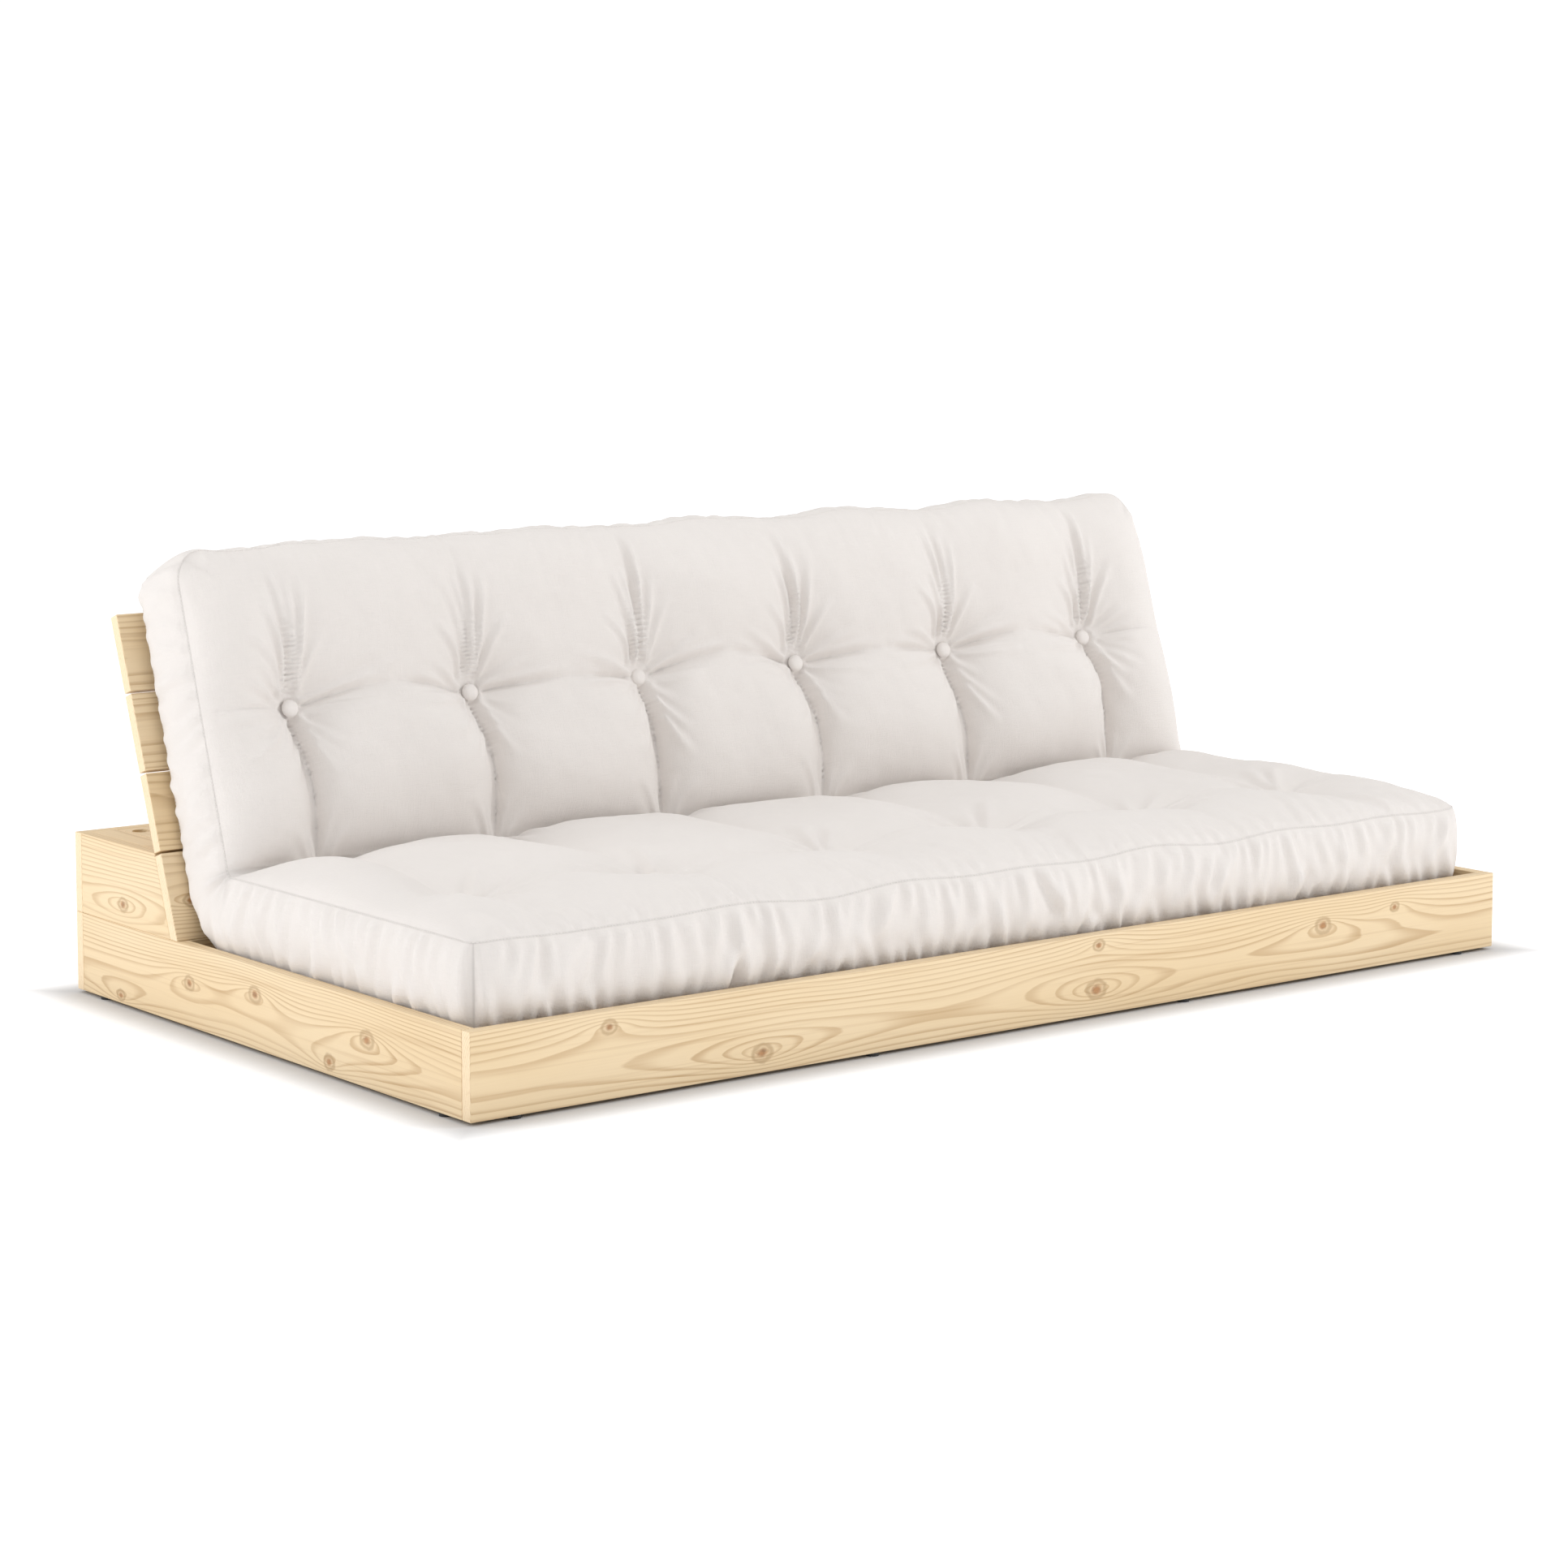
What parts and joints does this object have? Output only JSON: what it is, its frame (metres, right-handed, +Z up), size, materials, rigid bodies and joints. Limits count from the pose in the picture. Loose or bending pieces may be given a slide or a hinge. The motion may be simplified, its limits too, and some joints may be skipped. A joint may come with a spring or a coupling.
{
  "type": "futon sofa bed",
  "caption": "Low pine futon sofa bed with a slatted back, a storage box behind it, a pull-out front and one folded tufted mattress.",
  "frame": {"origin": "on the floor, under the middle of the closed frame", "axes": "+X along the width, to the right of someone facing the front; +Z up; the front faces -Y"},
  "size_m": [1.96, 1.094, 0.6978],
  "materials": {
    "mattress_cover": "matte",
    "button_cover": "matte",
    "pine": "satin",
    "thin_panel": "matte",
    "steel_fittings": "satin",
    "glides": "matte"
  },
  "bodies": {
    "frame": {"backrest_batten_1": "pine", "backrest_batten_2": "pine", "backrest_batten_3": "pine", "backrest_batten_4": "pine", "backrest_screws": "steel_fittings", "backrest_slat_1": "pine", "backrest_slat_2": "pine", "backrest_slat_3": "pine", "backrest_slat_4": "pine", "beam_legs": "pine", "box_divider_1": "pine", "box_divider_2": "pine", "box_floor": "thin_panel", "box_front_board": "pine", "fixed_slat_1": "pine", "fixed_slat_2": "pine", "fixed_slat_3": "pine", "fixed_slat_4": "pine", "fixed_slat_5": "pine", "fixed_slat_6": "pine", "fixed_slat_7": "pine", "fixed_slat_8": "pine", "fixed_slat_screws": "steel_fittings", "frame_glides": "glides", "front_beam": "pine", "hinge_leaves_shelf": "steel_fittings", "hinge_pins": "steel_fittings", "hinge_screws_shelf": "steel_fittings", "left_box_side": "pine", "left_runner": "pine", "left_shelf_end": "pine", "left_side_rail": "pine", "rear_board_lower": "pine", "rear_board_upper": "pine", "rear_ledger": "pine", "right_box_side": "pine", "right_runner": "pine", "right_shelf_end": "pine", "right_side_rail": "pine", "shelf_cleats": "pine", "shelf_strip": "pine"},
    "pull_out": {"front_board": "pine", "front_glides": "glides", "front_ledger": "pine", "mattress_seat": "mattress_cover", "seat_buttons": "button_cover", "slat_tie": "pine", "sliding_slat_1": "pine", "sliding_slat_2": "pine", "sliding_slat_3": "pine", "sliding_slat_4": "pine", "sliding_slat_5": "pine", "sliding_slat_6": "pine", "sliding_slat_7": "pine", "sliding_slat_screws": "steel_fittings"},
    "mattress_back": {"mattress_back": "mattress_cover", "back_buttons": "button_cover"},
    "lid": {"storage_lid": "pine", "hinge_leaves_lid": "steel_fittings", "hinge_screws_lid": "steel_fittings"}
  },
  "joints": [
    {"name": "pull_out_slide", "type": "slide", "parent": "frame", "child": "pull_out", "axis": [0, -1, 0], "range_m": [0, 0.585]},
    {"name": "mattress_fold", "type": "hinge", "parent": "pull_out", "child": "mattress_back", "pos_m": [0, 0.175, 0.168], "axis": [-1, 0, 0], "range_deg": [0, 72]},
    {"name": "lid_hinge", "type": "hinge", "parent": "frame", "child": "lid", "pos_m": [0, 0.365, 0.2518], "axis": [1, 0, 0], "range_deg": [0, 75]}
  ],
  "couplings": [
    {"joint": "mattress_fold", "follows": "pull_out_slide", "rad_per_m": 2.1481}
  ]
}
